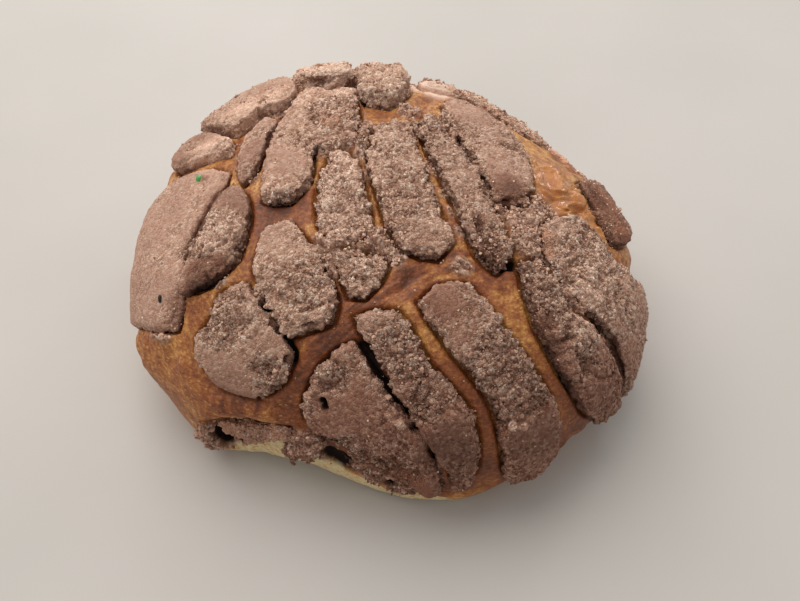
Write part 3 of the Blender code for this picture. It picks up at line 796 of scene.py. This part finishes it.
# %% [markdown]
# The crust is wheat dough brushed with egg or butter and baked. Browning runs from cream over gold and amber
# to red brown, so one ramp over the baked number gives all of it, and fine noise mottles it. Small light
# blisters are spread over the open crust: each has a cell of 1.2 mm, and its own size in it.

# %% Wheat crust, brushed and baked: browning and blisters
crust, tree = new_material("wheat_crust_brushed_baked")
where = add(tree, "TexCoord").outputs["Object"]
kept = {name: add(tree, "Attribute", attribute_name=name).outputs["Fac"]
        for name in ("bake", "fibre", "film_sheen", "residue", "shine", "open", "lump", "heap", "cavity")}
lying = add(tree, "Mapping", {"Vector": where, "Scale": (1.0, 1.0, 2.2)}).outputs["Vector"]
mottle = add(tree, "TexNoise", {"Vector": lying, "Scale": 1000 / 1.3, "Detail": 6.0,
                                "Roughness": 0.8}).outputs["Fac"]
shift = add(tree, "MapRange", {"Value": mottle, 1: 0.3, 2: 0.7, 3: -0.34, 4: 0.34}).outputs["Result"]
even = add(tree, "MapRange", {"Value": kept["shine"], 3: 1.0, 4: 0.3}).outputs["Result"]
mottled = add(tree, "Math", {0: shift, 1: even, 2: kept["bake"]}, operation="MULTIPLY_ADD").outputs[0]
stretched = add(tree, "Math", {0: kept["fibre"], 1: 0.35, 2: mottled}, operation="MULTIPLY_ADD").outputs[0]
browned = add(tree, "ValToRGB", {"Fac": stretched},
              ((0.0, "#dccba0"), (0.12, "#d2aa70"), (0.27, "#c2894a"), (0.45, "#a26735"),
               (0.65, "#884a27"), (1.0, "#572e1a"))).outputs["Color"]
blisters = add(tree, "TexVoronoi", {"Vector": lying, "Scale": 1000 / 1.2})
own_size = add(tree, "SeparateColor", {"Color": blisters.outputs["Color"]}).outputs["Red"]
reach = add(tree, "Math", {0: own_size, 1: 0.55, 2: -0.1}, operation="MULTIPLY_ADD").outputs[0]
inside = add(tree, "Math", {0: reach, 1: blisters.outputs["Distance"]}, operation="SUBTRACT").outputs[0]
dots = add(tree, "MapRange", {"Value": inside, 1: 0.0, 2: 0.15, 3: 0.0, 4: 0.5}).outputs["Result"]
dotted = add(tree, "Math", {0: dots, 1: kept["open"]}, operation="MULTIPLY").outputs[0]
print("blisters in a square centimetre:", round((10 / 1.2) ** 2))

# %% [markdown]
# Over the browned crust lie the amber glaze of the smooth bulge, the blisters, the paste that was left on
# it, the black of the hollows, which is painted shade, and the milky film, paler also as a painted sheen.
# The heaps low at the front are darker and rustier than the sandy ones above, partly as painted shade, and
# each small cell of crumb has its own tone.

# %% Wheat crust: coats of colour
# Paste on the dough is darker between its lumps and paler on them: painted shade and highlight.
rusty_shaded = add(tree, "ValToRGB", {"Fac": kept["lump"]},
            ((0.1, "#4c2c1f"), (0.5, "#8a5c46"), (0.9, "#b98a70"))).outputs["Color"]
sandy = add(tree, "ValToRGB", {"Fac": kept["lump"]},
            ((0.1, "#6e4b3d"), (0.5, "#a98270"), (0.9, "#d6b09a"))).outputs["Color"]
cells = add(tree, "TexVoronoi", {"Vector": where, "Scale": GRAIN}).outputs["Color"]
own_tone = add(tree, "SeparateColor", {"Color": cells}).outputs["Red"]
crumb_tone = add(tree, "ValToRGB", {"Fac": own_tone},
                 ((0.0, "#40261c"), (0.2, "#8a6250"), (0.6, "#b88f7a"), (0.86, "#ecccb4"),
                  (1.0, "#fff0e0"))).outputs["Color"]
fallen = rusty_shaded
for share, over in ((kept["heap"], sandy), (0.5, crumb_tone)):
    fallen = add(tree, "Mix", {"Factor": share, 6: fallen, 7: over}, data_type="RGBA").outputs[2]
glaze = add(tree, "Math", {0: kept["shine"], 1: 0.6}, operation="MULTIPLY").outputs[0]
# Hollows and seams are painted near black: painted shade.
hole_shade = add(tree, "MapRange", {"Value": kept["cavity"], 1: 0.08, 2: 0.55}).outputs["Result"]
colour = browned
for share, over in ((glaze, linear("#b8702c")), (dotted, linear("#d8a46c")), (kept["residue"], fallen),
                    (hole_shade, HOLE_SHADE), (kept["film_sheen"], MILKY_SHEEN)):
    colour = add(tree, "Mix", {"Factor": share, 6: colour, 7: over}, data_type="RGBA").outputs[2]
print("nodes so far:", len(tree.nodes))

# %% [markdown]
# Egg or butter gives a soft shine: a thin clear coat, strong on the smooth bulge and weak elsewhere. Hollows
# have none of it, or they would look grey. A little light passes into the skin, so it has some subsurface.

# %% Wheat crust: relief and shine
rough = add(tree, "MapRange", {"Value": kept["shine"], 3: 0.58, 4: 0.25}).outputs["Result"]
rough = add(tree, "Math", {0: rough, 1: hole_shade}, operation="MAXIMUM").outputs[0]
coat = add(tree, "MapRange", {"Value": kept["shine"], 3: 0.08, 4: 0.5}).outputs["Result"]
coat = add(tree, "Math", {0: coat, 1: hole_shade}, operation="SUBTRACT", use_clamp=True).outputs[0]
pores = add(tree, "TexNoise", {"Vector": where, "Scale": 1000 / 0.9, "Detail": 4.0}).outputs["Fac"]
bump = add(tree, "Bump", {"Strength": 0.8, "Distance": BUMP, "Height": pores})
shader = add(tree, "BsdfPrincipled", {"Base Color": colour, "Roughness": rough, "IOR": 1.45,
                                      "Coat Weight": coat, "Coat Roughness": 0.08,
                                      "Specular IOR Level": 0.38,
                                      "Subsurface Weight": 0.08, "Subsurface Scale": 0.001,
                                      "Subsurface Radius": (1.0, 0.45, 0.2),
                                      "Normal": bump.outputs["Normal"]})
add(tree, "OutputMaterial", {"Surface": shader.outputs[0]})
dough.data.materials.append(crust)
print("nodes in the crust material:", len(tree.nodes))

# %% [markdown]
# Loose bits. Crumbs have broken off the paste and lie where it is crumbly and along the edges of the slabs.
# A particle system could strew them, but real little meshes at their true size stay in the exported model.
# Each is a rough ball, turned and stretched by a seeded random number, so every run gives the same crumbs.

# %% One mesh of many small bodies
rng = np.random.default_rng(7)
UNEVEN = 0.25                            # how rough a small body is, as a share of its radius


def small_ball(level):
    """Corners and faces of a ball of radius 1."""
    bm = bmesh.new()
    bmesh.ops.create_icosphere(bm, subdivisions=level, radius=1.0)
    corners = np.array([v.co[:] for v in bm.verts])
    faces = np.array([[v.index for v in f.verts] for f in bm.faces])
    bm.free()
    return corners, faces


def scatter(name, shape, spots, sizes, squash):
    """One mesh of many small bodies: shape is (corners, faces), one body for each spot."""
    corners, faces = shape
    placed, linked, own = [], [], []
    # Bodies low at the front get a darker tone: painted shade.
    front_shade = 1 - 0.7 * low_front_shade(spots)
    for number, (place, size) in enumerate(zip(spots, sizes)):
        turn = np.array(Matrix.Rotation(rng.uniform(0, math.tau), 3, Vector(rng.normal(size=3))))
        stretch = rng.uniform(squash, 1.0, 3)
        rough = 1 + UNEVEN * rng.normal(size=(len(corners), 1))
        placed.append(place + (corners * rough * stretch) @ turn.T * size)
        linked.append(faces + number * len(corners))
        own.append(np.full(len(corners), (0.25 + 0.75 * rng.uniform()) * front_shade[number]))
    placed = np.clip(np.concatenate(placed), LOW, HIGH)
    mesh = bpy.data.meshes.new(name)
    mesh.from_pydata((placed / 1000).tolist(), [], np.concatenate(linked).tolist())
    note(mesh, "own", np.concatenate(own))
    piece = bpy.data.objects.new(name, mesh)
    bpy.context.collection.objects.link(piece)
    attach(piece, "root")
    print(name, "faces:", len(mesh.polygons))
    return piece


print("faces of a crumb:", len(small_ball(2)[1]))

# %% Where small bodies lie
def facing_up(out):
    """0 on undersides to 1 on upper sides."""
    return step(-0.1, 0.6, out[:, 2])


def slab_spots(count, weight_of):
    """Random points of the slabs, likelier where weight_of(crumble, out) is high."""
    spots, weights, outs = [], [], []
    for slab in slabs.values():
        mesh = slab.data
        spots.append(corner_array(mesh))
        outs.append(normal_array(mesh))
        values = np.empty(len(mesh.vertices), np.float32)
        mesh.attributes["crumble"].data.foreach_get("value", values)
        weights.append(weight_of(values, outs[-1]))
    spots, weights, outs = np.concatenate(spots), np.concatenate(weights), np.concatenate(outs)
    chosen = rng.choice(len(spots), count, replace=False, p=weights / weights.sum())
    return spots[chosen], outs[chosen]


def dough_spots(count, weights):
    """Random points of the dough, likelier where the weights are high."""
    chosen = rng.choice(len(weights), count, replace=False, p=weights / weights.sum())
    return corner_array(dough.data)[chosen], normal_array(dough.data)[chosen]


print("points to choose from:", sum(len(s.data.vertices) for s in slabs.values()) + len(places))

# %% [markdown]
# Moist paste keeps some crumbs in clusters. A cluster could be a pile of balls around one point, but some
# would then hang in the air. Here its crumbs sit on real points of the skin around its middle, which a
# search tree over all the points finds, so every cluster lies on what carries it.

# %% Clusters of crumbs
IN_CLUSTER, CLUSTER_REACH = 12, 1.5      # crumbs that stick together, and how far they spread in mm
middles, _ = slab_spots(110, lambda crumble, out: crumble ** 4 * facing_up(out))
on_heaps, _ = dough_spots(80, residue * heaps * step(0.6, 1.2, heaps))
meshes = [slab.data for slab in slabs.values()] + [dough.data]
skin_places = np.concatenate([corner_array(mesh) for mesh in meshes])
skin_outs = np.concatenate([normal_array(mesh) for mesh in meshes])
skin_points = KDTree(len(skin_places))
for i, p in enumerate(skin_places.tolist()):
    skin_points.insert(p, i)
skin_points.balance()
chosen = []
for centre in np.concatenate((middles, on_heaps)):
    close = [i for _, i, _ in skin_points.find_range(centre, CLUSTER_REACH)]
    chosen += rng.choice(close, IN_CLUSTER).tolist()
sizes = 0.22 + 0.26 * rng.random(len(chosen)) ** 2
raised = rng.uniform(0.2, 1.2, len(chosen)) * sizes
at = skin_places[chosen] + skin_outs[chosen] * raised[:, None]
clusters = scatter("crumb_clusters", small_ball(2), at, sizes, 0.6)

# %% [markdown]
# The single crumbs come in two sizes: radii of 0.24 to 0.6 mm, and a finer dust of 0.14 to 0.34 mm that also
# lies close along the slabs. A high power of a random number makes small ones common and large ones rare.

# %% Loose crumbs and fine crumbs
at, out_at = slab_spots(1200, lambda crumble, out: crumble ** 3 * facing_up(out))
more, more_out = dough_spots(1100, residue ** 2)
at, out_at = np.concatenate((at, more)), np.concatenate((out_at, more_out))
sizes = 0.24 + 0.36 * rng.random(len(at)) ** 3
crumbs = scatter("loose_cocoa_crumbs", small_ball(2), at + out_at * sizes[:, None] * 0.4, sizes, 0.6)

near_slab = step(0.5, 0.9, to_slab) * (1 - step(1.2, 3.5, to_slab)) * top_side
at, out_at = slab_spots(3000, lambda crumble, out: (0.05 + crumble ** 2) * facing_up(out))
more, more_out = dough_spots(700, 0.25 * near_slab ** 2 + residue)
at, out_at = np.concatenate((at, more)), np.concatenate((out_at, more_out))
sizes = 0.14 + 0.2 * rng.random(len(at)) ** 2
fine_crumbs = scatter("fine_cocoa_crumbs", small_ball(1), at + out_at * 0.1, sizes, 0.6)

# %% [markdown]
# Sugar crystals are little blocks with flat faces, 0.2 to 0.35 mm wide. Rough cubes give the flat glints
# that balls would not.

# %% Sugar grains
CUBE_HALF = 0.6
at, out_at = slab_spots(1000, lambda crumble, out: (0.12 + crumble) * facing_up(out))
cube = (np.array([(x, y, z) for x in (-1, 1) for y in (-1, 1) for z in (-1, 1)]) * CUBE_HALF,
        np.array([(0, 1, 3, 2), (4, 6, 7, 5), (0, 4, 5, 1), (2, 3, 7, 6), (0, 2, 6, 4), (1, 5, 7, 3)]))
sizes = 0.16 + 0.12 * rng.random(len(at))
sugar = scatter("sugar_grains", cube, at + out_at * 0.1, sizes, 0.8)

# %% [markdown]
# One round green sprinkle sits on the left slab, and one dark fleck of burnt cocoa is baked into it. The
# sprinkle is a sugar ball of 2 mm with a hard, slightly glossy dyed coat; the fleck is flat. Each is one
# slightly lumpy ball, sunk into the slab so far that it touches all round.

# %% The sprinkle and the dark fleck
def single_body(name, place, radius, stretch):
    corners, faces = small_ball(4)
    mesh = bpy.data.meshes.new(name)
    lump = 1 + 0.05 * swell(corners, 0.8, 3)[:, None]
    mesh.from_pydata(((place + corners * lump * stretch * radius) / 1000).tolist(), [], faces.tolist())
    mesh.shade_smooth()
    piece = bpy.data.objects.new(name, mesh)
    bpy.context.collection.objects.link(piece)
    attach(piece, "root")
    return piece


sprinkle = single_body("green_sprinkle", spot(200, 178) + (0, 0, -0.3), 1.05, np.array((1, 1, 1)))
fleck = single_body("burnt_fleck", spot(159, 299) + (0.25, 0, 0), 0.75, np.array((0.6, 1.1, 1.5)))
print("sprinkle at", spot(200, 178).round(1))

# %% [markdown]
# Finishes of the small bits: the crumbs have the paste's colours, each its own tone, and crumbs and sugar
# low at the front are darker, which is painted shade. Sugar is clear, but its scratched faces look white.
# The sprinkle is dyed sugar, polished by tumbling. Burnt cocoa is nearly black.

# %% Materials of the crumbs and the sugar
loose, tree = new_material("cocoa_crumb_broken")
own = add(tree, "Attribute", attribute_name="own").outputs["Fac"]
speck = add(tree, "TexNoise", {"Scale": 1000 / 0.5}).outputs["Fac"]
tint = add(tree, "ValToRGB", {"Fac": own}, ((0.0, "#6e4939"), (0.3, "#9d7460"), (0.6, "#c39d87"),
                                            (0.85, "#deb9a0"), (1.0, "#f0d3be"))).outputs["Color"]
bump = add(tree, "Bump", {"Strength": 0.5, "Distance": BUMP / 2, "Height": speck})
shader = add(tree, "BsdfPrincipled", {"Base Color": tint, "Roughness": 0.85, "Specular IOR Level": 0.35,
                                      "Normal": bump.outputs["Normal"]})
add(tree, "OutputMaterial", {"Surface": shader.outputs[0]})
for bits in (clusters, crumbs, fine_crumbs):
    bits.data.materials.append(loose)

crystal, tree = new_material("sugar_grain_scratched")
own = add(tree, "Attribute", attribute_name="own").outputs["Fac"]
tint = add(tree, "ValToRGB", {"Fac": own},
           ((0.0, "#b08f7a"), (0.5, "#d2b298"), (1.0, "#f2dcc8"))).outputs["Color"]
shader = add(tree, "BsdfPrincipled", {"Base Color": tint, "Roughness": 0.4, "IOR": 1.54})
add(tree, "OutputMaterial", {"Surface": shader.outputs[0]})
sugar.data.materials.append(crystal)
print("materials so far:", len(bpy.data.materials))

# %% Materials of the sprinkle and the fleck
dyed, tree = new_material("green_sugar_tumbled")
cloud = add(tree, "TexNoise", {"Scale": 1000 / 0.7}).outputs["Fac"]
tint = add(tree, "ValToRGB", {"Fac": cloud}, ((0.3, "#2f8a3c"), (0.7, "#52a84c"))).outputs["Color"]
shader = add(tree, "BsdfPrincipled", {"Base Color": tint, "Roughness": 0.35, "IOR": 1.5, "Coat Weight": 0.3})
add(tree, "OutputMaterial", {"Surface": shader.outputs[0]})
sprinkle.data.materials.append(dyed)

burnt, tree = new_material("cocoa_burnt_fleck")
cloud = add(tree, "TexNoise", {"Scale": 1000 / 0.5}).outputs["Fac"]
tint = add(tree, "ValToRGB", {"Fac": cloud}, ((0.3, "#1c1a1a"), (0.7, "#3a342f"))).outputs["Color"]
shader = add(tree, "BsdfPrincipled", {"Base Color": tint, "Roughness": 0.6})
add(tree, "OutputMaterial", {"Surface": shader.outputs[0]})
fleck.data.materials.append(burnt)
print("materials in all:", len(bpy.data.materials))

# %% [markdown]
# The floor is plain, pale and matt, so that nothing draws the eye from the bun. A curved backdrop is the
# usual choice in a studio, but this view looks down, and one wide flat square is enough.

# %% Floor
REACH = 1.5                              # metres to each side
floor_mesh = bpy.data.meshes.new("floor")
floor_mesh.from_pydata([(-REACH, -REACH, 0), (REACH, -REACH, 0), (REACH, REACH, 0), (-REACH, REACH, 0)], [],
                       [(0, 1, 2, 3)])
floor = bpy.data.objects.new("floor", floor_mesh)
bpy.context.collection.objects.link(floor)
pale, tree = new_material("pale_floor_matt")
cloud = add(tree, "TexNoise", {"Scale": 30.0, "Detail": 6.0}).outputs["Fac"]
tint = add(tree, "ValToRGB", {"Fac": cloud}, ((0.3, "#bcb8b3"), (0.7, "#c4bfba"))).outputs["Color"]
shader = add(tree, "BsdfPrincipled", {"Base Color": tint, "Roughness": 0.6, "Specular IOR Level": 0.3})
add(tree, "OutputMaterial", {"Surface": shader.outputs[0]})
floor_mesh.materials.append(pale)
print("floor width in metres:", 2 * REACH)

# %% [markdown]
# The light. One large soft lamp above and a little behind the bun gives most of it. Two smaller ones far
# behind give the shine on the crown and on the bulge, and a pale surround fills the shadows. It is darker
# towards the front, so that the bun's front lies in soft shade. A hard sun would be simpler, but it would
# draw black shadows under the slabs.

# %% Lamps and surround
TOWARDS_FRONT = (0.15, -0.79, 0.6)


def lamp(name, place, size, watts, colour):
    """A round lamp that faces the bun; place and size are in metres."""
    data = bpy.data.lights.new(name, "AREA")
    data.shape, data.size = "DISK", size
    data.energy, data.color = watts, linear(colour)[:3]
    obj = bpy.data.objects.new(name, data)
    obj.location = place
    obj.rotation_euler = (-Vector(place)).to_track_quat("-Z", "Y").to_euler()
    bpy.context.collection.objects.link(obj)


lamp("ceiling_light", (-0.35, 0.35, 0.95), 1.2, 7.4, "#fff8f0")
lamp("far_window", (-0.2, 0.95, 0.45), 0.4, 2.0, "#ffffff")
lamp("side_window", (0.55, 0.8, 0.45), 0.2, 0.9, "#ffffff")
world = bpy.data.worlds.new("surround")
bpy.context.scene.world = world
world.use_nodes = True
tree = world.node_tree
toward = add(tree, "TexCoord").outputs["Generated"]
front = add(tree, "VectorMath", {0: toward, 1: TOWARDS_FRONT}, operation="DOT_PRODUCT").outputs["Value"]
dimmed = add(tree, "MapRange", {"Value": front, 1: 0.1, 2: 0.9, 3: 0.92, 4: 0.52}).outputs["Result"]
sky = tree.nodes["Background"]
sky.inputs["Color"].default_value = linear("#f2f1ef")
tree.links.new(dimmed, sky.inputs["Strength"])
bpy.context.scene.view_settings.view_transform = "Standard"
print("lamps:", len(bpy.data.lights))
